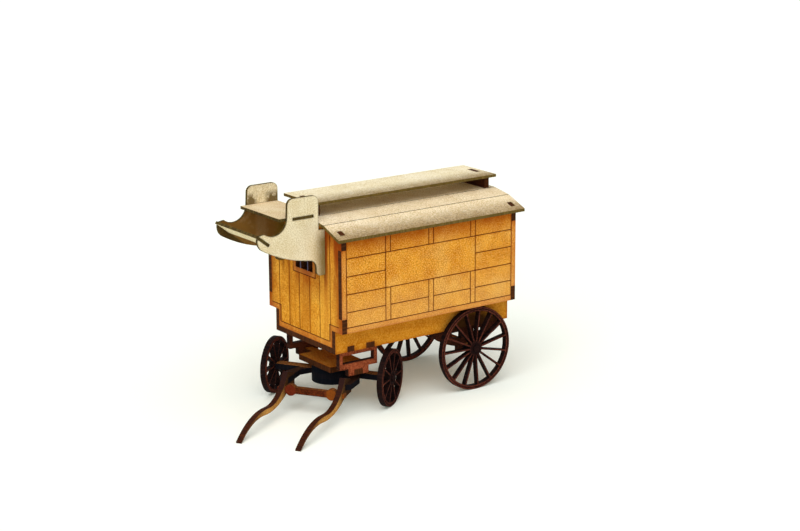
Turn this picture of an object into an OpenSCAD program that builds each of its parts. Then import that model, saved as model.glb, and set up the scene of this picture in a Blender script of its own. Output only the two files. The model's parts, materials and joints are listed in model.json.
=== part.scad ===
// Model vardo wagon in laser-cut board and card.
// Millimetres, +Z up, front towards -Y.
// Origin on the ground, on the centreline, under the king pin.

/* [Sheets] */
// Thickness of the board
board = 2; // [1.5:0.1:3]
// Thickness of the card
card = 1; // [0.6:0.1:1.5]
// Depth of the engraved lines
groove_d = 0.25; // [0.1:0.05:0.5]
// Width of the engraved lines
groove_w = 0.25; // [0.2:0.05:0.6]

/* [Body] */
// Length over the end walls
body_l = 76; // [66:1:96]
// Width over the side walls
body_w = 46.9; // [44:0.1:52]
// King pin behind the front wall's face
nose = 11; // [10:0.5:13]
// Width over the sills
sill_w = 38.1; // [36:0.1:40]
// Underside of the chassis plate above the ground
floor_z = 23.2; // [22.5:0.1:26]
// Height of the sills
sill_h = 8.2; // [7:0.1:10]
// Height of the side walls at their outer face
wall_h = 33.8; // [30:0.1:40]
// Height of the corner tabs at the top of an end wall
tab_top = 4.2; // [3:0.1:6]
// Height of the corner tabs at the bottom of an end wall
tab_foot = 5.2; // [3:0.1:6]
// Border between a wall's edge and its engraved frame
border = 2; // [1.5:0.1:3]
// Border beside the sills
skirt_border = 1.5; // [1:0.1:2.5]
// Pitch of the planks engraved on the end walls
plank = 6.5; // [5:0.1:8]

/* [Window] */
// Width of the barred window
window_w = 10.8; // [8:0.1:12]
// Height of the barred window
window_h = 10; // [8:0.1:12]
// Window's lower edge above the chassis plate's underside
window_rise = 26.5; // [24:0.1:28]
// Width of a window bar
bar_w = 0.6; // [0.4:0.1:1]
// Distance between the window bars' centres
bar_pitch = 4.6; // [3:0.1:5]
// Margin between the window and its engraved frame
window_edge = 1.75; // [1.2:0.05:2.5]

/* [Side panels] */
// First stile's front edge, behind the front wall's face
stile_y = 18.4; // [16:0.1:22]
// Width of a stile
stile_w = 2.1; // [1.5:0.1:3]
// Height of a row of panels
row_h = 6.35; // [5:0.05:6.7]
// Strip of the wall above the rows that the roof hides
row_top = 0.9; // [0.5:0.1:2]

/* [Roof] */
// Overhang past the side walls
eave = 2.1; // [1:0.1:4]
// Overhang of the lower roof past the end walls
roof_end = 2.4; // [1:0.1:4]
// Slope of the outer roof leaf, degrees
leaf_a = 20.9; // [14:0.1:26]
// Slope of the inner roof leaf, degrees
crown_a = 9; // [4:0.5:14]
// Width of the outer leaf inside the side wall's face
leaf_w = 7.15; // [6:0.05:9]
// Half width where the flat crown starts
crown_x = 7.9; // [7.7:0.05:11]
// Height of the raised roof over the crown
lantern_h = 5.2; // [4:0.1:7]
// Half width of the raised roof
lantern_x = 9.85; // [9:0.05:12]
// Overhang of the raised roof past the end walls
lantern_end = 1.6; // [1:0.1:3]
// Half width of an end wall's raised centre
riser_x = 7.6; // [5:0.1:7.6]
// Half width of the tab through the raised roof
riser_tab = 2.7; // [1.5:0.1:4]
// Tab through the lower roof, inside the side wall's face
roof_tab_in = 0.25; // [0.2:0.05:1.5]
// Length of the tab through the lower roof, measured across
roof_tab_l = 2.6; // [2:0.1:4]

/* [Seat] */
// Half width over the seat plates
seat_x = 13.45; // [11:0.05:15]
// Bench's underside above the lower roof's crown
bench_rise = 1.3; // [0.5:0.05:3]
// Bench's front edge ahead of the front wall
bench_front = 17.8; // [15.5:0.1:20]
// Front edge of a seat plate's back ahead of the front wall
seat_front = 15; // [14:0.1:17]
// Seat plate's top above the bench's underside
seat_h = 7.65; // [6:0.05:10]
// Seat plate's foot below the bench's underside
seat_drop = 20.9; // [18:0.1:23]
// Radius of a seat plate's upper corners
seat_corner = 2.2; // [1:0.1:3]
// Radius of a seat plate's toe
toe_r = 4.2; // [3.6:0.1:4.6]
// Radius of the scoop ahead of the bench
scoop_r = 5.6; // [5.4:0.05:5.8]
// Radius of a seat plate's lower edge
belly_r = 48; // [36:1:60]
// Width of a seat plate's tail on the front wall
tail_w = 3.55; // [3:0.05:4.5]
// Radius of the tail's lower corner
tail_corner = 1.6; // [0.5:0.1:2]
// Radius where the tail meets the lower edge
tail_fillet = 3; // [2:0.1:4]
// Height of the tail below that radius's centre
tail_h = 2.9; // [2:0.1:4]
// Slope of the foot board, degrees
foot_a = 38; // [34:0.5:46]
// Length of the foot board down its slope
foot_l = 6.1; // [5:0.1:6.4]

/* [Rear running gear] */
// Rear axle ahead of the rear wall's face
rear_set = 16.8; // [16:0.1:24]
// Radius of a rear wheel
rear_r = 15.4; // [13:0.1:15.6]
// Spokes of a rear wheel
rear_spokes = 15; // [8:1:18]
// Turn of the rear wheels at rest, degrees
rear_turn = 10.8; // [0:0.1:24]
// Gap between a sill and a rear wheel
rear_gap = 1; // [0.6:0.1:3]

/* [Fore carriage] */
// Radius of a front wheel
front_r = 10.4; // [9:0.1:11]
// Spokes of a front wheel
front_spokes = 10; // [8:1:14]
// Half width over the front wheels
front_track = 23.4; // [22.5:0.1:26]
// Steering angle at rest, degrees
steer = 33.25; // [-60:0.25:60]
// Radius of the turntable discs
disc_r = 7.2; // [5:0.1:8.5]
// Radius of the king pin
pin_r = 1.5; // [1:0.05:2]
// Running clearance at the pins
run = 0.05; // [0.02:0.01:0.08]
// Running clearance between flat faces
face_run = 0.1; // [0.05:0.05:0.3]
// Half distance between the shafts' outer faces
shaft_x = 11.9; // [10.5:0.1:13]
// Shaft's rear edge ahead of the axle
shaft_rear = 10.5; // [9:0.1:12]
// Lowest point of a shaft's top edge, ahead of the axle
hollow_q = 30; // [29:0.1:31]
// Height of that point
hollow_z = 5.33; // [5:0.01:5.6]
// Depth of a shaft there
shaft_w = 1.83; // [1.4:0.01:2.2]
// Height of a shaft's tip
tip_w = 0.55; // [0.4:0.05:1.2]
// Axle arm's width outside the shaft
arm_w = 1.8; // [1.2:0.1:2.5]
// Axle arm's length ahead of the axle
arm_l = 16; // [14:0.1:16.4]
// Height of the crossbar
bar_h = 2.3; // [1.8:0.1:3]
// Height of the crossbar's middle above the ground
bar_z = 8.05; // [7.8:0.05:8.4]
// Radius of the crossbar's lobes
bar_lobe = 2.05; // [1.6:0.05:2.3]

/* [Wheels] */
// Width of a rim
rim_w = 1.5; // [1.2:0.1:2.5]
// Width of a spoke
spoke_w = 0.6; // [0.5:0.05:1.2]
// Radius of a hub
hub_r = 2.7; // [2:0.1:3.5]
// Radius of a hub cap
cap_r = 1.4; // [1.3:0.1:2.4]
// Thickness of a hub cap
cap_t = 0.6; // [0.5:0.1:1.5]
// Radius of an axle's round ends
journal_r = 1; // [0.8:0.05:1.2]
// Width of an axle's strip
axle_w = 4; // [3:0.1:5]

/* [Bolsters] */
// Length of a fore frame
frame_l = 16; // [14:0.5:20]
// Bottom of a fore frame above the ground
frame_z = 16.2; // [16:0.1:18]
// Width of a fore frame's posts
post_w = 1.4; // [1:0.1:2]
// Height of a frame's bars
frame_bar = 2; // [1.5:0.1:2.4]
// Half width of the turntable plate
table_x = 10.2; // [8:0.1:12]
// Length of the turntable plate
table_l = 14.6; // [12:0.1:16]
// Length of the turntable plate's tabs through the frames' feet
table_tab = 3.5; // [2.5:0.1:5]
// Length of a frame's foot
frame_foot = 8.6; // [7:0.1:10]
// Length of a rear frame
spring_l = 30; // [26:0.5:32]
// Radius of a rear frame's arched lower edge
spring_r = 24.6; // [22:0.2:30]
// Depth of a rear frame under its openings
spring_w = 3; // [2:0.1:4]
// Openings of a rear frame: length of each
spring_gap = 4.4; // [3:0.1:5]
// Width of a rear frame's middle post
spring_post = 5.6; // [4.5:0.1:7]
// Rear frame's reach below the axle
rear_drop = 1; // [0.8:0.1:1.5]

/* [Hidden] */
$fn = 64;
eps = 0.02;
front_y = -nose;
rear_y = body_l - nose;
wall_x = body_w / 2;
sill_x = sill_w / 2;
floor_top = floor_z + board;
step_z = floor_z + sill_h;
wall_top = step_z + wall_h;

// Lower roof, heights of its top face
leaf_drop = card / cos(leaf_a);
eave_x = wall_x + eave;
fold_x = wall_x - leaf_w;
roof_tab_x = wall_x - roof_tab_in - roof_tab_l;
eave_z = wall_top + leaf_drop - eave * tan(leaf_a);
fold_z = eave_z + (eave_x - fold_x) * tan(leaf_a);
crown_z = fold_z + (fold_x - crown_x) * tan(crown_a);
lantern_z = crown_z + lantern_h;

// Seat: heights, gaps to the roof's front edge, and places ahead of the front wall and up
bench_z = crown_z + bench_rise;
seat_top = bench_z + seat_h;
seat_foot = bench_z - seat_drop;
seat_run = 0.1;
bench_run = 0.3;
toe = [-22.9, bench_z - 5.3];
scoop = [-20.8, bench_z + 1.2];
foot_top = [-27, bench_z - 3.2];
bench_slot = [-13, -4.5];
notch_z = eave_z + (eave_x - seat_x) * tan(leaf_a) - 2 * leaf_drop - card;

// Angles on the toe and the scoop where one path passes to the next, degrees
toe_end = -205;
scoop_start = 231;
scoop_end = 352;

// Running gear
front_z = front_r;
disc_z = front_z - board / 2 - board;
table_z = disc_z + 3 * board + face_run;
wheelbase = body_l - nose - rear_set;
rear_in = sill_x + rear_gap;
front_in = front_track - board;
frame_in = sill_x - 2 * board;

// Shaft: radii of its sweep and bow above and of its sweep below, and the angles where a sweep ends
top_r = [15.5, 32];
top_turn = 8.7;
low_r = 32;
low_turn = 9.5;
hollow_lag = 0.5;

// Shaft's bracket: heights of its top at the front and rear, and of its foot, and angle where the sweep starts
bracket_top = [front_z + 3.4, front_z + 1.6];
bracket_low = front_z - 3.1;
bracket_a = 244.3;

// Crossbar: rear face ahead of the axle, height and length of a tab, and a lobe's place inside the shaft
bar_q = 17;
bar_tab = 1.6;
bar_out = board + 0.8;
lobe_in = 0.1;

// Axle arm: gusset beside the turntable, waist outside the shaft, and radius of its front corner
arm_gusset = [2.6, 3.4];
arm_waist = [2.2, 5];
arm_round = 1.8;

// Engraved side panels: stile fronts along the wall and row lines under the top
stiles = [stile_y, (body_l - stile_w) / 2, body_l - stile_y - stile_w];
rows = [for (k = [1:4]) wall_top - row_top - k * row_h];

// Chassis plate tabs: start behind an end wall's face and length, alike at both ends
end_tabs = [[5, 3], [13, 3.6]];
chassis_tabs = [for (tab = end_tabs) each [tab, [body_l - tab[0] - tab[1], tab[1]]]];

wood = "#d99a3c";
burnt = "#3a241a";
paper = "#dccba0";

// Sheet standing across the wagon: outline in x and z, front face at y
module across(y, t) translate([0, y + t, 0]) rotate([90, 0, 0]) linear_extrude(t) children();

// Sheet standing along the wagon: outline in y and z, inner face at x
module along(x, t) translate([x, 0, 0]) rotate([90, 0, 90]) linear_extrude(t) children();

// Sheet lying flat: outline in x and y, underside at z
module flat(z, t) translate([0, 0, z]) linear_extrude(t) children();

module both_sides() {
    children();
    mirror([1, 0, 0]) children();
}

// Turns the fore carriage to its angle at rest
module steered() rotate([0, 0, steer]) children();

// Straight engraved line in a sheet's outline, from a to b
module line2(a, b) {
    d = b - a;
    translate(a) rotate(atan2(d[1], d[0])) translate([0, -groove_w / 2]) square([norm(d), groove_w]);
}

module chassis_plate() color(wood) flat(floor_z, board) {
    translate([-sill_x + board, front_y]) square([sill_w - 2 * board, body_l]);
    for (tab = chassis_tabs) translate([-sill_x, front_y + tab[0]]) square([sill_w, tab[1]]);
}

module sill() color(wood) along(sill_x - board, board) difference() {
    translate([front_y, floor_z]) square([body_l, sill_h]);
    for (tab = chassis_tabs) translate([front_y + tab[0], floor_z - eps]) square([tab[1], board + eps]);
}

module deck() color(wood) flat(step_z, board)
    translate([-wall_x + board, front_y + board]) square([body_w - 2 * board, body_l - 2 * board]);

// Height of the outer roof leaf's top face at x
function leaf_z(x) = eave_z + (eave_x - x) * tan(leaf_a);

// Right half of a symmetric outline, closed by its mirror image
module mirrored_outline(half) {
    last = len(half) - 1;
    polygon(concat(half, [for (k = [last:-1:0]) [-half[k][0], half[k][1]]]));
}

// End wall between the sills and under the roof: corner tabs, tabs through both roofs and centre riser
module end_outline() {
    inner_x = wall_x - board;
    foot_x = sill_x - board;
    tab_x = roof_tab_x + roof_tab_l;
    mirrored_outline([
        [foot_x, floor_top], [foot_x, step_z],
        [wall_x, step_z], [wall_x, step_z + tab_foot], [inner_x, step_z + tab_foot],
        [inner_x, wall_top - tab_top], [wall_x, wall_top - tab_top], [wall_x, wall_top],
        [tab_x, leaf_z(tab_x) - leaf_drop], [tab_x, leaf_z(tab_x)],
        [roof_tab_x, leaf_z(roof_tab_x)], [roof_tab_x, leaf_z(roof_tab_x) - leaf_drop],
        [fold_x, fold_z - leaf_drop], [crown_x, crown_z - leaf_drop],
        [riser_x, crown_z - leaf_drop], [riser_x, lantern_z - card],
        [riser_tab, lantern_z - card], [riser_tab, lantern_z]
    ]);
}

// Engraved planks and border of an end wall
module end_lines() {
    lower_x = sill_x - board - skirt_border;
    for (k = [0:2], s = [-1, 1]) {
        x = s * plank * (k + 0.5);
        line2([x, floor_top + border], [x, wall_top]);
    }
    line2([-lower_x, floor_top + border], [lower_x, floor_top + border]);
    both_sides() {
        line2([lower_x, floor_top + border], [lower_x, step_z + border]);
        line2([lower_x, step_z + border], [wall_x - board, step_z + border]);
    }
}

module window_hole() translate([-window_w / 2, floor_z + window_rise]) square([window_w, window_h]);

module window_lines() {
    x = window_w / 2 + window_edge;
    z0 = floor_z + window_rise - window_edge;
    z1 = floor_z + window_rise + window_h + window_edge;
    line2([-x, z0], [x, z0]);
    line2([-x, z1], [x, z1]);
    both_sides() line2([x, z0], [x, z1]);
}

module window_panel() {
    x = window_w / 2 + window_edge;
    translate([-x, floor_z + window_rise - window_edge])
        square([2 * x, window_h + 2 * window_edge]);
}

module front_wall() color(wood) difference() {
    across(front_y, board) {
        difference() {
            end_outline();
            window_hole();
        }
        for (s = [-1, 1]) translate([(s * bar_pitch - bar_w) / 2, floor_z + window_rise - eps])
            square([bar_w, window_h + 2 * eps]);
    }
    across(front_y - eps, groove_d + eps) {
        difference() {
            end_lines();
            window_panel();
        }
        window_lines();
    }
}

// Door engraved in the rear wall
module door_lines() {
    x = 1.5 * plank;
    z1 = wall_top - border;
    line2([-x, z1], [x, z1]);
    both_sides() line2([x, floor_top + border], [x, z1]);
}

module rear_wall() color(wood) difference() {
    across(rear_y - board, board) end_outline();
    across(rear_y - groove_d, groove_d + eps) {
        end_lines();
        door_lines();
    }
}

// Outline of a side wall between the end walls' tabs
module side_outline() difference() {
    translate([front_y, step_z]) square([body_l, wall_h]);
    for (y = [front_y - eps, rear_y - board]) {
        translate([y, step_z - eps]) square([board + eps, tab_foot + eps]);
        translate([y, wall_top - tab_top]) square([board + eps, tab_top + eps]);
    }
}

module side_lines() {
    y0 = board;
    y1 = body_l - board;
    z0 = step_z + border;
    panel_z = [rows[2], rows[0]];
    ends = [stiles[0], stiles[2] + stile_w];
    translate([front_y, 0]) {
        for (y = [y0, y1, ends[0], ends[1]]) line2([y, z0], [y, wall_top]);
        line2([y0, z0], [y1, z0]);
        for (y = [ends[0] + stile_w, stiles[1], stiles[1] + stile_w, stiles[2]]) {
            line2([y, z0], [y, panel_z[0]]);
            line2([y, panel_z[1]], [y, wall_top]);
        }
        for (z = rows) {
            line2([y0, z], [ends[0], z]);
            line2([ends[1], z], [y1, z]);
        }
        for (z = panel_z) line2([ends[0], z], [ends[1], z]);
        line2([ends[0] + stile_w, rows[3]], [stiles[1], rows[3]]);
        line2([stiles[1] + stile_w, rows[3]], [stiles[2], rows[3]]);
    }
}

module side_wall() color(wood) difference() {
    along(wall_x - board, board) side_outline();
    along(wall_x - groove_d, groove_d + eps) side_lines();
}

// Folded card with an engraved line along each fold
module roof_outline() difference() {
    mirrored_outline([
        [crown_x, crown_z - leaf_drop], [fold_x, fold_z - leaf_drop], [eave_x, eave_z - leaf_drop],
        [eave_x, eave_z], [fold_x, fold_z], [crown_x, crown_z]
    ]);
    both_sides() {
        fold_line([fold_x, fold_z], (leaf_a + crown_a) / 2);
        fold_line([crown_x, crown_z], crown_a / 2);
    }
}

module fold_line(place, slope) translate(place) rotate(-slope) translate([-groove_w / 2, -groove_d])
    square([groove_w, groove_d + groove_w]);

module lower_roof() color(paper) difference() {
    across(front_y - roof_end, body_l + 2 * roof_end) roof_outline();
    for (y = [front_y, rear_y - board]) translate([0, y, crown_z - card * 2]) {
        translate([-riser_x, 0, 0]) cube([2 * riser_x, board, card * 4]);
        both_sides() translate([roof_tab_x, 0, -lantern_h]) cube([roof_tab_l, board, 2 * lantern_h]);
    }
}

module upper_roof() color(paper) flat(lantern_z - card, card) difference() {
    translate([-lantern_x, front_y - lantern_end]) square([2 * lantern_x, body_l + 2 * lantern_end]);
    for (y = [front_y, rear_y - board]) translate([-riser_tab, y]) square([2 * riser_tab, board]);
}

// Points on an arc about c from angle a0 to a1
function arc(c, r, a0, a1, n = 10) = [
    for (k = [0:n]) let (a = a0 + (a1 - a0) * k / n) c + r * [cos(a), sin(a)]
];

// The same points without the first, where one path passes smoothly to the next
function rest(points) = [for (k = [1:len(points) - 1]) points[k]];

// Direction from a to b
function heading(a, b) = atan2(b[1] - a[1], b[0] - a[0]);

// Point at distance ra from a and rb from b, to the left of the way from a to b
function meeting(a, ra, b, rb) = let (
    d = norm(b - a),
    u = (b - a) / d,
    k = (ra * ra - rb * rb + d * d) / (2 * d)
) a + k * u + sqrt(ra * ra - k * k) * [-u[1], u[0]];

// Seat plate in one path: tail on the wall, lower edge, toe, scoop and back
module seat_outline() {
    back_y = -roof_end - seat_run;
    corner = [-tail_w + tail_corner, seat_foot + tail_corner];
    fillet = [-tail_w - tail_fillet, seat_foot + tail_h];
    belly = meeting(toe, belly_r - toe_r, fillet, belly_r + tail_fillet);
    difference() {
        polygon(concat(
            [[0, notch_z], [0, seat_foot]],
            arc(corner, tail_corner, 270, 180, 5),
            arc(fillet, tail_fillet, 0, heading(fillet, belly), 6),
            rest(arc(belly, belly_r, heading(belly, fillet), heading(belly, toe))),
            rest(arc(toe, toe_r, heading(belly, toe), toe_end)),
            arc(scoop, scoop_r, scoop_start, scoop_end),
            arc([-seat_front, seat_top] + seat_corner * [1, -1], seat_corner, 180, 90, 6),
            arc([back_y, seat_top] - seat_corner * [1, 1], seat_corner, 90, 0, 6),
            [[back_y, notch_z]]
        ));
        translate([bench_slot[0], bench_z]) square([bench_slot[1] - bench_slot[0], card]);
        translate(foot_top) rotate(-foot_a) translate([-toe_r, -card]) square([foot_l + toe_r, card]);
    }
}

module seat_plate() color(paper) along(seat_x - card, card) translate([front_y, 0]) seat_outline();

module seat_bench() color(paper) flat(bench_z, card) translate([0, front_y]) {
    translate([-seat_x + card, -bench_front])
        square([2 * (seat_x - card), bench_front - roof_end - bench_run]);
    translate([-seat_x, bench_slot[0]]) square([2 * seat_x, bench_slot[1] - bench_slot[0]]);
}

module foot_board() color(paper) translate([0, front_y + foot_top[0], foot_top[1]]) rotate([-foot_a, 0, 0])
    translate([-seat_x, 0, -card]) cube([2 * seat_x, foot_l, card]);

// Fore frame under the chassis plate: a window, and a foot notched for the turntable plate's tab
module fore_frame() color(burnt) along(frame_in, board) {
    difference() {
        translate([-frame_l / 2, frame_z]) square([frame_l, floor_z - frame_z]);
        translate([-frame_l / 2 + post_w, frame_z + frame_bar])
            square([frame_l - 2 * post_w, floor_z - frame_z - 2 * frame_bar]);
    }
    difference() {
        translate([-frame_foot / 2, table_z]) square([frame_foot, frame_z - table_z + eps]);
        translate([-table_tab / 2, table_z - eps]) square([table_tab, board + eps]);
    }
}

module turntable_plate() color(wood) flat(table_z, board) difference() {
    union() {
        translate([-table_x, -table_l / 2]) square([2 * table_x, table_l]);
        translate([-frame_in - board, -table_tab / 2]) square([2 * (frame_in + board), table_tab]);
    }
    circle(pin_r);
}

module king_pin() color(burnt) translate([0, 0, disc_z]) cylinder(r = pin_r, h = table_z + board - disc_z);

// Rear frame in the shape of a spring: arched lower edge, an opening ahead of and behind the axle's foot
module rear_frame() color(burnt) along(frame_in, board) translate([wheelbase, 0]) {
    centre = [0, rear_r + spring_r];
    end_a = acos(spring_l / 2 / spring_r);
    post_a = acos(spring_post / 2 / (spring_r - spring_w));
    gap_a = acos((spring_post / 2 + spring_gap) / (spring_r - spring_w));
    difference() {
        union() {
            polygon(concat(
                [[spring_l / 2, floor_z], [-spring_l / 2, floor_z]],
                arc(centre, spring_r, 180 + end_a, 360 - end_a)
            ));
            translate([-frame_foot / 2, rear_r - board / 2 - rear_drop])
                square([frame_foot, board + rear_drop + spring_w / 2]);
        }
        for (s = [0, 1]) mirror([s, 0]) polygon(concat(
            [[spring_post / 2 + spring_gap, floor_z - frame_bar], [spring_post / 2, floor_z - frame_bar]],
            arc(centre, spring_r - spring_w, 360 - post_a, 360 - gap_a)
        ));
        translate([-axle_w / 2, rear_r - board / 2]) square([axle_w, board]);
    }
}

// Axle strip with round ends, as long as the gap between the wheels
module axle(shoulder, z) {
    flat(z - board / 2, board) translate([-shoulder, -axle_w / 2]) square([2 * shoulder, axle_w]);
    both_sides() translate([shoulder - eps, 0, z]) rotate([0, 90, 0])
        cylinder(r = journal_r, h = board + 2 * face_run + eps);
}

module hub_cap(shoulder, z) translate([shoulder + board + 2 * face_run, 0, z]) rotate([0, 90, 0])
    cylinder(r = cap_r, h = cap_t);

module rear_axle() color(burnt) translate([0, wheelbase, 0]) axle(rear_in - face_run, rear_r);

module rear_hub_caps() color(burnt) both_sides() translate([0, wheelbase, 0])
    hub_cap(rear_in - face_run, rear_r);

module disc(z) flat(z, board) difference() {
    circle(disc_r);
    circle(pin_r + run);
}

module lower_disc() color(burnt) disc(disc_z);

module upper_disc() color(burnt) disc(disc_z + 2 * board);

// Arm of the front axle that a shaft's slot sits on: outline in x and q, q forward from the axle
module arm_outline() {
    inner = shaft_x - board;
    outer = shaft_x + arm_w;
    root = axle_w / 2;
    polygon(concat(
        [[inner - arm_gusset[0], 0], [inner - arm_gusset[0], root]],
        [[inner, root + arm_gusset[1]], [inner, arm_l]],
        arc([outer - arm_round, arm_l - arm_round], arm_round, 90, 0, 6),
        [[outer, root + arm_waist[1]], [outer - arm_waist[0], root], [outer - arm_waist[0], 0]]
    ));
}

module front_axle() color(burnt) steered() difference() {
    union() {
        axle(front_in - face_run, front_z);
        flat(front_z - board / 2, board) {
            circle(disc_r);
            both_sides() mirror([0, 1]) arm_outline();
        }
    }
    translate([0, 0, disc_z]) cylinder(r = pin_r + run, h = 3 * board);
}

module front_hub_caps() color(burnt) steered() both_sides() hub_cap(front_in - face_run, front_z);

// Shaft in one path, q forward from the axle and z up: rear edge, lower edge, tip, upper edge and sloped top
module shaft_outline() {
    top_sweep = [hollow_q, hollow_z + top_r[0]];
    top_bow = top_sweep + (top_r[0] + top_r[1]) * [sin(top_turn), -cos(top_turn)];
    tip_a = asin((tip_w - top_bow[1]) / top_r[1]);
    tip = [top_bow[0] + top_r[1] * cos(tip_a), 0];
    low_sweep = [hollow_q + hollow_lag, hollow_z - shaft_w + low_r];
    down = [sin(low_turn), -cos(low_turn)];
    left = tip - low_sweep - low_r * down;
    bow_r = left * left / (2 * left * down);
    low_bow = low_sweep + (low_r + bow_r) * down;
    bracket_end = 180 + asin((top_sweep[1] - bracket_top[0]) / top_r[0]);
    difference() {
        polygon(concat(
            [[shaft_rear, bracket_top[1]], [shaft_rear, bracket_low]],
            arc(low_sweep, low_r, bracket_a, 270 + low_turn),
            rest(arc(low_bow, bow_r, 90 + low_turn, heading(low_bow, tip))),
            arc(top_bow, top_r[1], tip_a, 90 + top_turn),
            rest(arc(top_sweep, top_r[0], 270 + top_turn, bracket_end))
        ));
        translate([0, front_z - board / 2]) square([arm_l, board]);
        translate([bar_q, bar_z - bar_tab / 2]) square([board, bar_tab]);
    }
}

// Shaft with its outer face at x
module shaft(x) color(wood) steered() translate([x - board, 0, 0]) rotate([90, 0, -90])
    translate([0, 0, -board]) linear_extrude(board) shaft_outline();

// Crossbar with a lobe inside each shaft and a tab through it
module crossbar() color(wood) steered() across(-bar_q - board, board) {
    end = shaft_x - board;
    lobe = [end - bar_lobe - lobe_in, bar_z];
    rise = asin(bar_h / 2 / bar_lobe);
    mirrored_outline(concat(
        [[0, bar_z - bar_h / 2]],
        arc(lobe, bar_lobe, 180 + rise, 360 - rise),
        [[end, bar_z - bar_h / 2], [end, bar_z - bar_tab / 2], [end + bar_out, bar_z - bar_tab / 2]],
        [[end + bar_out, bar_z + bar_tab / 2], [end, bar_z + bar_tab / 2], [end, bar_z + bar_h / 2]],
        arc(lobe, bar_lobe, rise, 180 - rise),
        [[0, bar_z + bar_h / 2]]
    ));
}

// Spoked wheel about the x axis, inner face at x, with a ring engraved in its outer face
module wheel(x, r, spokes) translate([x, 0, 0]) rotate([90, 0, 90]) difference() {
    linear_extrude(board) difference() {
        union() {
            ring(r, rim_w);
            circle(hub_r);
            for (k = [1:spokes]) rotate(k * 360 / spokes) translate([hub_r / 2, -spoke_w / 2])
                square([r - (rim_w + hub_r) / 2, spoke_w]);
        }
        circle(journal_r + run);
    }
    translate([0, 0, board - groove_d]) linear_extrude(groove_d + eps)
        ring(r - (rim_w - groove_w) / 2, groove_w);
}

// Flat ring of outer radius r and width w
module ring(r, w) difference() {
    circle(r, $fn = 128);
    circle(r - w, $fn = 128);
}

module rear_wheel() color(burnt) translate([0, wheelbase, rear_r]) rotate([rear_turn, 0, 0])
    wheel(rear_in, rear_r, rear_spokes);

module front_wheel() color(burnt) translate([0, 0, front_r]) wheel(front_in, front_r, front_spokes);

module on_left() mirror([1, 0, 0]) children();

chassis_plate();
on_left() sill();  // left_sill
sill();  // right_sill
deck();
front_wall();
rear_wall();
on_left() side_wall();  // left_wall
side_wall();  // right_wall
lower_roof();
upper_roof();
on_left() seat_plate();  // left_seat_plate
seat_plate();  // right_seat_plate
seat_bench();
foot_board();
on_left() fore_frame();  // left_fore_frame
fore_frame();  // right_fore_frame
turntable_plate();
king_pin();
on_left() rear_frame();  // left_rear_frame
rear_frame();  // right_rear_frame
rear_axle();
rear_hub_caps();
lower_disc();
upper_disc();
front_axle();
shaft(board - shaft_x);  // left_shaft
shaft(shaft_x);  // right_shaft
crossbar();
front_hub_caps();
steered() on_left() front_wheel();  // left_front_wheel
steered() front_wheel();  // right_front_wheel
on_left() rear_wheel();  // left_rear_wheel
rear_wheel();  // right_rear_wheel
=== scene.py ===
import json
import math
from typing import NamedTuple

import bpy
from mathutils import Matrix, Vector

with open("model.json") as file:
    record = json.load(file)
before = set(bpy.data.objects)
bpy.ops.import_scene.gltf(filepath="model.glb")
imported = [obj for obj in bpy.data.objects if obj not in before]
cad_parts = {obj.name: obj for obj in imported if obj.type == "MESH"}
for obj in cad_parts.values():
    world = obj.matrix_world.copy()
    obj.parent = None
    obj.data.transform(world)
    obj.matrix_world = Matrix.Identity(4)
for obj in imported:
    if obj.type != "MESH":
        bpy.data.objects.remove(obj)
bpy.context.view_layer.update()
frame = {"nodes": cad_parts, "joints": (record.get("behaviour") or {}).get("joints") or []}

MM = 0.001
X_AXIS = Vector((1, 0, 0))
Y_AXIS = Vector((0, 1, 0))
Z_AXIS = Vector((0, 0, 1))

# Axles, and the fore carriage's axes at rest, from the wheels' joints
JOINTS = {joint["name"]: joint for joint in frame["joints"]}
FRONT_AXLE = Vector(JOINTS["right_front_spin"]["pos_m"])
REAR_AXLE = Vector(JOINTS["right_rear_spin"]["pos_m"])
FORE_SIDE = Vector(JOINTS["right_front_spin"]["axis"])
FORE_AHEAD = FORE_SIDE.cross(Z_AXIS)


# Camera, at the photograph's viewing angle

IMAGE_W = 800
FOCAL_PX = 2001.3
SENSOR_MM = 36
AZIMUTH = math.radians(54.361)
ELEVATION = math.radians(14.773)
ROLL = math.radians(-0.265)
DISTANCE = 705.9 * MM
TARGET = Vector((0, -11, 30)) * MM
PAN = Vector((-33.49, -20.43)) * MM
NEAR = 10 * MM


def make_camera():
    flat = math.cos(ELEVATION)
    back = Vector((math.sin(AZIMUTH) * flat, -math.cos(AZIMUTH) * flat, math.sin(ELEVATION)))
    right = Vector((math.cos(AZIMUTH), math.sin(AZIMUTH), 0))
    up = back.cross(right)
    rolled_right = right * math.cos(ROLL) + up * math.sin(ROLL)
    rolled_up = up * math.cos(ROLL) - right * math.sin(ROLL)
    place = TARGET + back * DISTANCE - rolled_right * PAN.x - rolled_up * PAN.y
    data = bpy.data.cameras.new("camera")
    data.sensor_width = SENSOR_MM
    data.lens = SENSOR_MM * FOCAL_PX / IMAGE_W
    data.clip_start = NEAR
    camera = bpy.data.objects.new("camera", data)
    turn = Matrix((rolled_right, rolled_up, back)).transposed().to_4x4()
    camera.matrix_world = Matrix.Translation(place) @ turn
    bpy.context.scene.collection.objects.link(camera)
    bpy.context.scene.camera = camera


# Node graphs

RELIEF_DEPTH = 0.02 * MM
SPECULAR = 0.04


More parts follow.
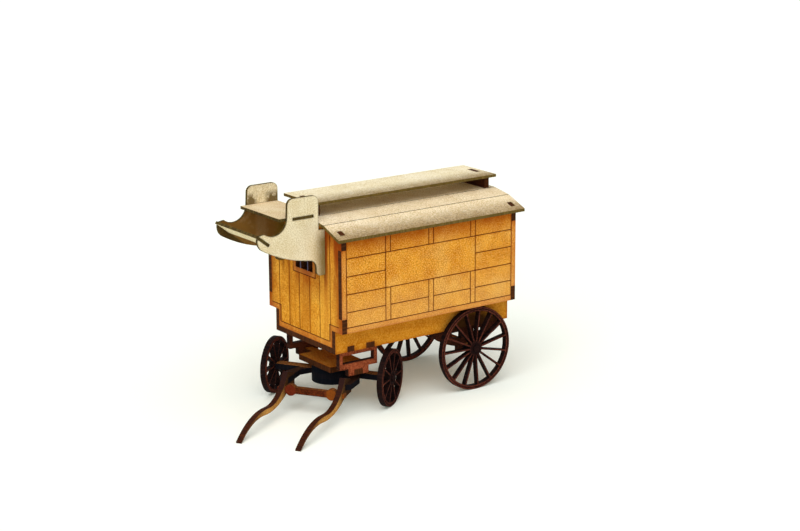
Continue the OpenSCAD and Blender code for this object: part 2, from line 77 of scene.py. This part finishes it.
class Graph:
    """A material's node tree, with short calls for the nodes used here. Lengths are in metres."""

    def __init__(self, name):
        self.material = bpy.data.materials.new(name)
        self.material.use_nodes = True
        self.tree = self.material.node_tree
        self.tree.nodes.clear()
        coordinates = self.node("ShaderNodeTexCoord")
        self.place = coordinates.outputs["Object"]
        self.normal = coordinates.outputs["Normal"]

    def node(self, kind, **settings):
        made = self.tree.nodes.new(kind)
        for key, value in settings.items():
            setattr(made, key, value)
        return made

    def feed(self, socket, value):
        """Link a socket to another one, or set its constant."""
        if isinstance(value, bpy.types.NodeSocket):
            self.tree.links.new(value, socket)
        else:
            socket.default_value = value

    def math(self, operation, a, b=0.0):
        made = self.node("ShaderNodeMath", operation=operation)
        self.feed(made.inputs[0], a)
        self.feed(made.inputs[1], b)
        return made.outputs[0]

    def product(self, *values):
        result = values[0]
        for value in values[1:]:
            result = self.math("MULTIPLY", result, value)
        return result

    def inverse(self, value):
        return self.math("SUBTRACT", 1.0, value)

    def vector(self, operation, a, b=(0, 0, 0)):
        made = self.node("ShaderNodeVectorMath", operation=operation)
        self.feed(made.inputs[0], a)
        self.feed(made.inputs[1], tuple(b) if isinstance(b, Vector) else b)
        return made.outputs["Value" if operation in ("DOT_PRODUCT", "LENGTH") else "Vector"]

    def ramp(self, value, low, high):
        """0 below low, 1 above high, smooth between them."""
        made = self.node("ShaderNodeMapRange", interpolation_type="SMOOTHSTEP")
        self.feed(made.inputs["Value"], value)
        made.inputs["From Min"].default_value = low
        made.inputs["From Max"].default_value = high
        return made.outputs["Result"]

    def fade(self, value, low, high):
        """1 below low, 0 above high, smooth between them."""
        return self.inverse(self.ramp(value, low, high))

    def noise(self, scale, detail=3.0, rough=0.55, grain=None, share=1.0):
        """Noise, drawn out into streaks along grain, where its scale is only a share."""
        made = self.node("ShaderNodeTexNoise")
        self.feed(made.inputs["Vector"], self.stretched(grain, share) if grain else self.place)
        made.inputs["Scale"].default_value = scale
        made.inputs["Detail"].default_value = detail
        made.inputs["Roughness"].default_value = rough
        return made.outputs["Fac"]

    def patches(self, low, high, **noise):
        """Patches where noise rises from low to high."""
        return self.ramp(self.noise(**noise), low, high)

    def random(self, value):
        """One number from 0 to 1 for each value."""
        made = self.node("ShaderNodeTexWhiteNoise", noise_dimensions="1D")
        self.feed(made.inputs["W"], value)
        return made.outputs["Value"]

    def mix(self, factor, a, b):
        made = self.node("ShaderNodeMix", data_type="RGBA")
        self.feed(made.inputs["Factor"], factor)
        self.feed(made.inputs[6], a)
        self.feed(made.inputs[7], b)
        return made.outputs[2]

    def layers(self, colour, layers):
        """A colour under layers of mask, strength and sRGB code."""
        for mask, strength, code in layers:
            colour = self.mix(self.product(mask, strength), colour, srgb(code))
        return colour

    def along(self, axis):
        """Position along an axis."""
        return self.vector("DOT_PRODUCT", self.place, axis)

    def aside(self, axis, middle=0.0):
        """Distance along an axis from its middle, to either side."""
        return self.math("ABSOLUTE", self.math("SUBTRACT", self.along(axis), middle))

    def off_line(self, point, axis):
        """Distance from the line through a point along an axis."""
        away = self.vector("SUBTRACT", self.place, point)
        return self.vector("LENGTH", self.vector("CROSS_PRODUCT", away, axis))

    def stretched(self, axis, share):
        """Position squeezed to a share along an axis."""
        made = self.node("ShaderNodeVectorMath", operation="SCALE")
        made.inputs[0].default_value = tuple(axis)
        self.feed(made.inputs["Scale"], self.math("MULTIPLY", self.along(axis), share - 1))
        return self.vector("ADD", self.place, made.outputs["Vector"])

    def shut(self, distance, inside, samples=6):
        """How much of the space within a distance is closed off, in the sheet or before it."""
        made = self.node("ShaderNodeAmbientOcclusion", samples=samples, inside=inside,
                         only_local=True)
        made.inputs["Distance"].default_value = distance
        return self.inverse(made.outputs["AO"])

    def shader(self, colour, rough, height):
        surface = self.node("ShaderNodeBsdfPrincipled")
        self.feed(surface.inputs["Base Color"], colour)
        self.feed(surface.inputs["Roughness"], rough)
        surface.inputs["Specular IOR Level"].default_value = SPECULAR
        relief = self.node("ShaderNodeBump")
        relief.inputs["Distance"].default_value = RELIEF_DEPTH
        self.feed(relief.inputs["Height"], height)
        self.feed(surface.inputs["Normal"], relief.outputs["Normal"])
        output = self.node("ShaderNodeOutputMaterial")
        self.feed(output.inputs["Surface"], surface.outputs[0])
        return self.material


def srgb(code):
    """Linear colour of a six-digit sRGB code."""
    parts = [int(code[k:k + 2], 16) / 255 for k in (0, 2, 4)]
    return [c / 12.92 if c <= 0.04045 else ((c + 0.055) / 1.055) ** 2.4 for c in parts] + [1.0]


# Laser-cut sheets: a speckled face, scorched towards every cut, dark engraved lines, charred edges

class Kind(NamedTuple):
    """One kind of sheet, by sRGB codes and strengths from 0 to 1."""
    light: str  # clouds and pale grains
    base: str  # most of the face
    deep: str  # its darker parts
    fleck: str  # dark grains
    flecks: float  # strength of the dark grains
    grainy: float  # strength of the pale grains
    toast: str  # scorch beside a cut
    toasted: float  # strength of the scorch
    reach: float  # how far from a cut the scorch goes
    line: str  # engraved lines
    char: str  # cut edges
    ember: str  # lighter streaks on them


BOARD = Kind(light="f5c56c", base="e69b2b", deep="d1811a", fleck="9c5912", flecks=0.75, grainy=0.55,
             toast="9c3d0c", toasted=0.8, reach=1.1 * MM, line="421a08", char="3a1f0d", ember="5a3016")
END = BOARD._replace(light="f8c250", base="f0a12a", deep="d8851a", flecks=0.5, grainy=0.6,
                     toast="9a4614", reach=1.9 * MM)
CARD = Kind(light="fbf2d8", base="ecdcb0", deep="decd9c", fleck="b39f6a", flecks=0.6, grainy=0.6,
            toast="816a38", toasted=0.6, reach=0.8 * MM, line="4a3a1c", char="40331a", ember="655327")
PLATE = CARD._replace(light="f8efd4", base="e9dab4", deep="ddca9e", fleck="b9a676", flecks=0.55,
                      toast="55431f", toasted=0.85, reach=0.5 * MM)
LEAF = CARD._replace(light="fbeed6", base="ecd7b0", deep="e0c79c", toasted=0.35,
                     line="140c04", char="5c4a22", ember="776233")
RAISED = LEAF._replace(light="fdf6e2", base="f4e6c0", deep="ead9ae", flecks=0.4, grainy=0.5)
FRAME = Kind(light="bc6840", base="984a2c", deep="7a381f", fleck="451e10", flecks=0.5, grainy=0.6,
             toast="451e10", toasted=0.7, reach=0.6 * MM, line="2a1510", char="24130e", ember="4a2618")
BAR = FRAME._replace(light="7c3a16", base="4a1c0c", deep="341208", fleck="260f08",
                     char="5c3219", ember="8a5528")
WHEEL = Kind(light="8a4836", base="4e251a", deep="361711", fleck="22100d", flecks=0.5, grainy=0.5,
             toast="1f0f0d", toasted=0.85, reach=0.45 * MM, line="140d0c", char="0d0708", ember="2a1611")
AXLE = Kind(light="b07a40", base="8c5628", deep="6c3e1c", fleck="402314", flecks=0.5, grainy=0.6,
            toast="2e1912", toasted=0.95, reach=0.9 * MM, line="1f1310", char="0b0b10", ember="161318")
SHAFT = Kind(light="e4b264", base="ce9044", deep="b07632", fleck="7b4c22", flecks=0.45, grainy=0.6,
             toast="5a3218", toasted=0.6, reach=0.6 * MM, line="24150f", char="2c140c", ember="50260f")
DRUM = Kind(light="15161c", base="0e0f14", deep="0a0b0e", fleck="060608", flecks=0.3, grainy=0.6,
            toast="08090b", toasted=0.6, reach=0.6 * MM, line="060608", char="06090f", ember="0a0d15")

CLOUD_SHARE = 0.45
STREAK_SHARE = 0.55
BROAD_SHARE = 0.3
GROOVE_REACH = 0.5 * MM
FACE_ROUGH = 0.88
BURNT_GLOSS = 0.2
SPECKLE_RELIEF = 0.5


def face_colour(g, kind, grain, speckle):
    """A bare face: two tones in clouds, or in streaks along grain, with pale and dark grains."""
    cloud = g.noise(scale=170, detail=4, rough=0.6)
    if grain:
        streaks = g.noise(scale=420, rough=0.6, grain=grain, share=0.07)
        cloud = g.math("ADD", g.product(cloud, CLOUD_SHARE), g.product(streaks, STREAK_SHARE))
    face = g.mix(g.ramp(cloud, 0.36, 0.64), srgb(kind.deep), srgb(kind.base))
    worn = g.math("ADD", 0.7, g.product(g.patches(0.35, 0.65, scale=90), 0.4))
    return g.layers(face, [
        (g.patches(0.48, 0.7, scale=80), BROAD_SHARE, kind.light),
        (g.ramp(speckle, 0.5, 0.62), kind.grainy, kind.light),
        (g.product(g.fade(speckle, 0.38, 0.5), worn), kind.flecks, kind.fleck)])


def sheet_material(name, axis, kind, grain=None, smoke_and_shade=None, painted_shade=None):
    """A sheet with faces square to axis. grain is the way streaks run; the layers for the faces hold
    stains and, on some parts, painted shade; the layers for faces and edges hold painted shade."""
    g = Graph(name)
    speckle = g.noise(scale=2600, detail=1.5, rough=0.6)
    face = face_colour(g, kind, grain, speckle)
    ragged = g.math("ADD", 0.55, g.noise(scale=420))
    scorch = g.product(g.shut(kind.reach, inside=True), ragged)
    face = g.layers(face, [(g.ramp(scorch, 0.08, 0.7), kind.toasted, kind.toast)])
    if smoke_and_shade:
        face = g.layers(face, smoke_and_shade(g))

    flat = g.math("ABSOLUTE", g.vector("DOT_PRODUCT", g.normal, axis))
    edge = g.fade(flat, 0.55, 0.85)
    groove = g.ramp(g.shut(GROOVE_REACH, inside=False), 0.06, 0.25)
    burnt = g.math("MAXIMUM", edge, groove)
    burr = g.noise(scale=2200, rough=0.6, grain=axis, share=0.08)
    char = g.mix(g.ramp(burr, 0.4, 0.72), srgb(kind.char), srgb(kind.ember))
    colour = g.mix(burnt, face, g.mix(groove, char, srgb(kind.line)))
    if painted_shade:
        colour = g.layers(colour, painted_shade(g))

    rough = g.math("SUBTRACT", FACE_ROUGH, g.product(burnt, BURNT_GLOSS))
    height = g.math("ADD", g.product(speckle, SPECKLE_RELIEF), g.product(burr, edge))
    return g.shader(colour, rough, height)


# Stains, tones and painted shade: each function gives layers of mask, strength and sRGB code. Bands
# are from and to, in the part's frame at rest.

LOWER_ROOF_SMOKE = (17 * MM, 26.5 * MM)
UPPER_ROOF_SMOKE = (-2 * MM, 11 * MM)


def lower_roof_smoke(g):
    """The lower roof, browned towards both eaves."""
    return roof_smoke(g, g.ramp(g.aside(X_AXIS), *LOWER_ROOF_SMOKE))


def upper_roof_smoke(g):
    """The upper roof, browned towards its right edge."""
    return roof_smoke(g, g.ramp(g.along(X_AXIS), *UPPER_ROOF_SMOKE))


def roof_smoke(g, out):
    clouds = g.math("ADD", 0.35, g.noise(scale=260, detail=5, rough=0.7))
    dots = g.patches(0.47, 0.6, scale=1500, rough=0.65)
    return [(g.product(out, clouds), 0.85, "80602c"),
            (g.product(out, dots), 0.5, "54411c")]


def inner_side(g):
    """1 on the face of an upright side piece that looks to the wagon's middle."""
    out = g.product(g.vector("DOT_PRODUCT", g.normal, X_AXIS), g.math("SIGN", g.along(X_AXIS)))
    return g.fade(out, -0.5, 0.5)


FOOT_SLOPE = math.radians(38)
FOOT_AXIS = Vector((0, math.sin(FOOT_SLOPE), math.cos(FOOT_SLOPE)))
FOOT_TOP = Vector((0, -38, 68.45)) * MM
FOOT_DEPTH = 1.2 * MM
UNDER_FOOT = FOOT_TOP.dot(FOOT_AXIS) - FOOT_DEPTH
UNDER_FOOT_BAND = (UNDER_FOOT, UNDER_FOOT + 0.6 * MM)
BENCH_Z = 71.65 * MM
BENCH_BAND = (BENCH_Z - 0.5 * MM, BENCH_Z + 0.8 * MM)
PATCH_TOP = (BENCH_Z + 3.2 * MM, BENCH_Z + 5.6 * MM)
PATCH_SIDE = (0.9 * MM, 3.2 * MM)
SEAT_MIDDLE = -20.3 * MM
SEAT_LOW = (54 * MM, 57 * MM)
TAIL_BACK = (-16.5 * MM, -11.5 * MM)
TAIL_TOP = (62 * MM, 69 * MM)


def seat_smoke_and_shade(g):
    """A seat plate: brown stains in patches inside above the bench, a brown stain with painted shade
    inside below it, painted shade inside under the foot board and outside at its tail.
    """
    inner = inner_side(g)
    z = g.along(Z_AXIS)
    below = g.math("SUBTRACT", g.ramp(z, *SEAT_LOW), g.ramp(z, *BENCH_BAND))
    under = g.fade(g.along(FOOT_AXIS), *UNDER_FOOT_BAND)
    patch = g.product(g.fade(z, *PATCH_TOP), g.ramp(g.aside(Y_AXIS, SEAT_MIDDLE), *PATCH_SIDE),
                      g.patches(0.3, 0.5, scale=330))
    tail = g.product(g.ramp(g.along(Y_AXIS), *TAIL_BACK), g.fade(z, *TAIL_TOP))
    return [(g.product(patch, inner), 0.92, "665024"),
            # brown stain with painted shade, inside below the bench
            (g.product(below, inner), 0.93, "775422"),
            # painted shade inside under the foot board
            (g.product(under, inner), 0.8, "3c3016"),
            # painted shade outside on the tail, towards the wall
            (tail, 0.85, "6e5a18")]


def bench_shade(g):
    """The bench, with a little painted shade all over, uneven in clouds."""
    cloud = g.product(g.patches(0.3, 0.7, scale=150), 0.15)
    # painted shade over the whole bench
    return [(g.math("ADD", 0.2, cloud), 1.0, "c08e68")]


PLANK = 6.5 * MM
BORDER_Z = 27.2 * MM
SKIRT_X = 15.55 * MM
SKIRT_Z = 33.4 * MM
CORNER_BAND = (17 * MM, 22.5 * MM)
STREAK_BAND = (34 * MM, 60 * MM)
EAVE_SHADE_BAND = (55 * MM, 65 * MM)
RISER_SHADE_BAND = (69.6 * MM, 70.2 * MM)
TAIL_X = 13.45 * MM
TAIL_INSIDE = (12 * MM, TAIL_X)
TAIL_OUTSIDE = (TAIL_X, 15.6 * MM)
TAIL_LOW = (44 * MM, 50 * MM)


def wall_smoke_and_shade(g):
    """An end wall: planks of different tones, a redder border, scorched at its sides, with painted shade
    under the roof and on the riser between the roofs, and a painted shadow beside the seat plates'
    tails."""
    x = g.along(X_AXIS)
    out = g.aside(X_AXIS)
    z = g.along(Z_AXIS)
    tone = g.random(g.math("ROUND", g.math("DIVIDE", x, PLANK)))
    smear = g.patches(0.45, 0.68, scale=330, rough=0.6, grain=Z_AXIS, share=0.05)
    streak = g.patches(0.4, 0.62, scale=260, detail=4, rough=0.6, grain=Z_AXIS, share=0.2)
    scorch = g.product(g.ramp(z, *STREAK_BAND), streak)
    ragged = g.math("ADD", 0.25, g.noise(scale=300, detail=4, rough=0.6, grain=Z_AXIS, share=0.4))
    corner = g.product(g.ramp(out, *CORNER_BAND), ragged)
    skirt = g.product(g.math("GREATER_THAN", out, SKIRT_X), g.math("LESS_THAN", z, SKIRT_Z))
    border = g.math("MAXIMUM", skirt, g.math("LESS_THAN", z, BORDER_Z))
    tail_shadow = g.math("SUBTRACT", g.ramp(out, *TAIL_INSIDE), g.ramp(out, *TAIL_OUTSIDE))
    return [(g.ramp(tone, 0.4, 1), 0.35, "f0b648"),
            (smear, 0.6, "b05c08"),
            (scorch, 0.8, "842f06"),
            (corner, 0.85, "8e3606"),
            (border, 0.38, "b45c30"),
            # painted shade under the roof
            (g.ramp(z, *EAVE_SHADE_BAND), 0.7, "8a3206"),
            # painted shadow of the seat plates' tails
            (g.product(tail_shadow, g.ramp(z, *TAIL_LOW)), 0.6, "6e2806"),
            # painted shade on the riser between the roofs, with some smoke stain
            (g.ramp(z, *RISER_SHADE_BAND), 0.95, "34190f")]


WINDOW_X = 5.4 * MM
WINDOW_LOW = 49.7 * MM
WINDOW_HIGH = 59.7 * MM
WINDOW_RIM = 1.75 * MM
BELOW_WINDOW = (38 * MM, 49 * MM)
BELOW_SIDE = (3 * MM, 9 * MM)


def in_window(g, margin):
    """1 in the window's opening and a margin round it."""
    z = g.along(Z_AXIS)
    return g.product(g.math("LESS_THAN", g.aside(X_AXIS), WINDOW_X + margin),
                     g.math("GREATER_THAN", z, WINDOW_LOW - margin),
                     g.math("LESS_THAN", z, WINDOW_HIGH + margin))


def front_smoke_shade_and_sheen(g):
    """The front wall, scorched below its window, with a redder rim and burnt bars with a painted bluish
    sheen, over an end wall's layers and their painted shade.
    """
    below = g.product(g.ramp(g.along(Z_AXIS), *BELOW_WINDOW), g.fade(g.aside(X_AXIS), *BELOW_SIDE))
    return wall_smoke_and_shade(g) + [(below, 0.5, "9c3e08"),
                            (in_window(g, WINDOW_RIM), 0.4, "a4643a"),
                            # burnt bars with a painted bluish-grey sheen
                            (in_window(g, 0), 1.0, "5a5468")]


WALL_MIDDLE = 27 * MM
STRIP_Y = 36 * MM
PALE_BAND = (36 * MM, 50 * MM)
SIDE_EAVE_SHADE = (56 * MM, 65 * MM)


def side_tones_and_shade(g):
    """A side wall: paler low down, redder on its border, with painted shade under the eave."""
    z = g.along(Z_AXIS)
    border = g.math("MAXIMUM", g.math("GREATER_THAN", g.aside(Y_AXIS, WALL_MIDDLE), STRIP_Y),
                    g.math("LESS_THAN", z, SKIRT_Z))
    clouds = g.math("ADD", 0.35, g.noise(scale=240, detail=4, rough=0.6))
    return [(g.fade(z, *PALE_BAND), 0.2, "e8bc74"),
            (border, 0.27, "c06a38"),
            # painted shade under the eave
            (g.product(g.ramp(z, *SIDE_EAVE_SHADE), clouds), 0.95, "a84a00")]


SILL_DARK_BAND = (11 * MM, 17.5 * MM)
UNDER_FLOOR_SHADE_BAND = (17 * MM, 20 * MM)
HUB_BAND = (2 * MM, 3.6 * MM)


def sill_darkening(g):
    """A sill, dull all over and darkened round the rear axle, behind the rear wheel."""
    return [(1.0, 0.45, "aa620a"),
            (g.fade(g.off_line(REAR_AXLE, X_AXIS), *SILL_DARK_BAND), 0.94, "1e0d0a")]


def under_floor_shade(g):
    """The turntable plate, with painted shade under the wagon's floor."""
    # painted shade below the wagon's floor
    return [(g.fade(g.along(Z_AXIS), *UNDER_FLOOR_SHADE_BAND), 0.5, "683206")]


def front_hub_smoke(g):
    """A front wheel, darkest round its hub."""
    return [(g.fade(g.off_line(FRONT_AXLE, FORE_SIDE), *HUB_BAND), 0.9, "0f090a")]


def rear_hub_smoke(g):
    """A rear wheel, darkest round its hub."""
    return [(g.fade(g.off_line(REAR_AXLE, X_AXIS), *HUB_BAND), 0.9, "0f090a")]


def fore_frame_shade(g):
    """A fore frame, with painted shade on its inner face."""
    # painted shade on the inner face
    return [(inner_side(g), 0.75, "2e1710")]


def rear_frame_shade(g):
    """A rear frame, with painted shade all over."""
    # painted shade over the whole frame
    return [(1.0, 0.85, "1e100d")]


# Bands along the fore carriage's own axes
ARM_BAND = (1.8 * MM, 3.2 * MM)
BRACKET_SHADE_BAND = (16 * MM, 25 * MM)
TIP_BAND = (34 * MM, 46 * MM)
LOBE_BAND = (5.4 * MM, 6.4 * MM)


def axle_smoke(g):
    """An axle, black on the front arms that carry the shafts."""
    return [(g.ramp(g.along(FORE_AHEAD), *ARM_BAND), 0.92, "1e1210")]


def shaft_smoke(g):
    """A shaft's faces, burnt towards the tip."""
    return [(g.ramp(g.along(FORE_AHEAD), *TIP_BAND), 0.85, "4a2210")]


def bracket_shade(g):
    """A shaft's bracket, nearly black with painted shade."""
    # painted shade on the bracket
    return [(g.fade(g.along(FORE_AHEAD), *BRACKET_SHADE_BAND), 0.93, "2a1613")]


def bar_smoke(g):
    """The crossbar, lighter on its right lobe and redder on its left one."""
    return [(g.ramp(g.along(FORE_SIDE), *LOBE_BAND), 0.4, "a85c18"),
            (g.ramp(g.along(-FORE_SIDE), *LOBE_BAND), 0.4, "7c2a18")]


def dress(name, nodes, axis, kind, grain=None, smoke_and_shade=None, painted_shade=None):
    material = sheet_material(name, axis, kind, grain, smoke_and_shade, painted_shade)
    for node in nodes:
        slots = frame["nodes"][node].data.materials
        slots.clear()
        slots.append(material)


def pair(piece):
    return ["left_" + piece, "right_" + piece]


def dress_nodes():
    dress("side", pair("wall"), X_AXIS, BOARD, smoke_and_shade=side_tones_and_shade)
    dress("sill", pair("sill"), X_AXIS, END, Y_AXIS, sill_darkening)
    dress("front", ["front_wall"], Y_AXIS, END, Z_AXIS, front_smoke_shade_and_sheen)
    dress("rear", ["rear_wall"], Y_AXIS, END, Z_AXIS, wall_smoke_and_shade)
    dress("floor_board", ["chassis_plate", "deck", "turntable_plate", "king_pin"], Z_AXIS, BOARD,
          smoke_and_shade=under_floor_shade)
    dress("lower_roof", ["lower_roof"], Z_AXIS, LEAF, smoke_and_shade=lower_roof_smoke)
    dress("upper_roof", ["upper_roof"], Z_AXIS, RAISED, smoke_and_shade=upper_roof_smoke)
    dress("seat_plate", pair("seat_plate"), X_AXIS, PLATE, smoke_and_shade=seat_smoke_and_shade)
    dress("bench", ["seat_bench"], Z_AXIS, CARD, smoke_and_shade=bench_shade)
    dress("foot_board", ["foot_board"], FOOT_AXIS, CARD)
    dress("fore_frame", pair("fore_frame"), X_AXIS, FRAME, smoke_and_shade=fore_frame_shade)
    dress("rear_frame", pair("rear_frame"), X_AXIS, FRAME, smoke_and_shade=rear_frame_shade)
    dress("rear_wheel", ["rear_hub_caps"] + pair("rear_wheel"), X_AXIS, WHEEL, smoke_and_shade=rear_hub_smoke)
    dress("front_wheel", ["front_hub_caps"] + pair("front_wheel"), FORE_SIDE, WHEEL,
          smoke_and_shade=front_hub_smoke)
    dress("axle", ["rear_axle", "front_axle"], Z_AXIS, AXLE, smoke_and_shade=axle_smoke)
    dress("drum", ["lower_disc", "upper_disc"], Z_AXIS, DRUM)
    dress("shaft", pair("shaft"), FORE_SIDE, SHAFT, smoke_and_shade=shaft_smoke, painted_shade=bracket_shade)
    dress("crossbar", ["crossbar"], FORE_AHEAD, BAR, smoke_and_shade=bar_smoke)


# Stage and light

FLOOR_HALF = 3.0
FLOOR_COLOUR = "f7faf3"
FLOOR_ROUGH = 0.9
FLOOR_TINT = (0.9, 1, 0.75, 1)
FLOOR_LIFT = 0.1
SKY_COLOUR = (1, 1, 1, 1)
SKY_LIGHT = 0.3
SKY_SHOWN = 1.0

# Soft lamps: the way to each, its energy and its angle in degrees
LAMPS = [(Vector((0.25, -0.2, 0.95)), 1.75, 70), (Vector((0.6, -0.6, 0.53)), 1.4, 60)]


def ray_seen(tree):
    """1 where the camera sees a surface itself, in a gloss or through glass."""
    path = tree.nodes.new("ShaderNodeLightPath")
    seen = path.outputs["Is Camera Ray"]
    for ray in ("Is Glossy Ray", "Is Transmission Ray"):
        either = tree.nodes.new("ShaderNodeMath")
        either.operation = "MAXIMUM"
        tree.links.new(seen, either.inputs[0])
        tree.links.new(path.outputs[ray], either.inputs[1])
        seen = either.outputs[0]
    return seen


def make_floor():
    """A white floor that keeps the shadow. It is seen a little brighter than it lights the wagon."""
    mesh = bpy.data.meshes.new("floor")
    half = FLOOR_HALF
    corners = [(-half, -half, 0), (half, -half, 0), (half, half, 0), (-half, half, 0)]
    mesh.from_pydata(corners, [], [(0, 1, 2, 3)])
    floor = bpy.data.objects.new("floor", mesh)
    bpy.context.scene.collection.objects.link(floor)
    material = bpy.data.materials.new("floor")
    material.use_nodes = True
    tree = material.node_tree
    surface = tree.nodes["Principled BSDF"]
    surface.inputs["Base Color"].default_value = srgb(FLOOR_COLOUR)
    surface.inputs["Roughness"].default_value = FLOOR_ROUGH
    surface.inputs["Specular IOR Level"].default_value = 0.0
    surface.inputs["Emission Color"].default_value = FLOOR_TINT
    lift = tree.nodes.new("ShaderNodeMath")
    lift.operation = "MULTIPLY"
    lift.inputs[1].default_value = FLOOR_LIFT
    tree.links.new(ray_seen(tree), lift.inputs[0])
    tree.links.new(lift.outputs[0], surface.inputs["Emission Strength"])
    mesh.materials.append(material)


def make_light():
    world = bpy.data.worlds.new("studio")
    bpy.context.scene.world = world
    world.use_nodes = True
    tree = world.node_tree
    backdrop = tree.nodes["Background"]
    backdrop.inputs["Color"].default_value = SKY_COLOUR
    shown = tree.nodes.new("ShaderNodeMapRange")
    shown.inputs["To Min"].default_value = SKY_LIGHT
    shown.inputs["To Max"].default_value = SKY_SHOWN
    tree.links.new(ray_seen(tree), shown.inputs["Value"])
    tree.links.new(shown.outputs["Result"], backdrop.inputs["Strength"])
    for way, energy, angle in LAMPS:
        data = bpy.data.lights.new("softbox", "SUN")
        data.energy = energy
        data.angle = math.radians(angle)
        light = bpy.data.objects.new("softbox", data)
        light.rotation_euler = way.to_track_quat("Z", "Y").to_euler()
        bpy.context.scene.collection.objects.link(light)


make_camera()
dress_nodes()
make_floor()
make_light()
bpy.context.scene.view_settings.view_transform = "Standard"
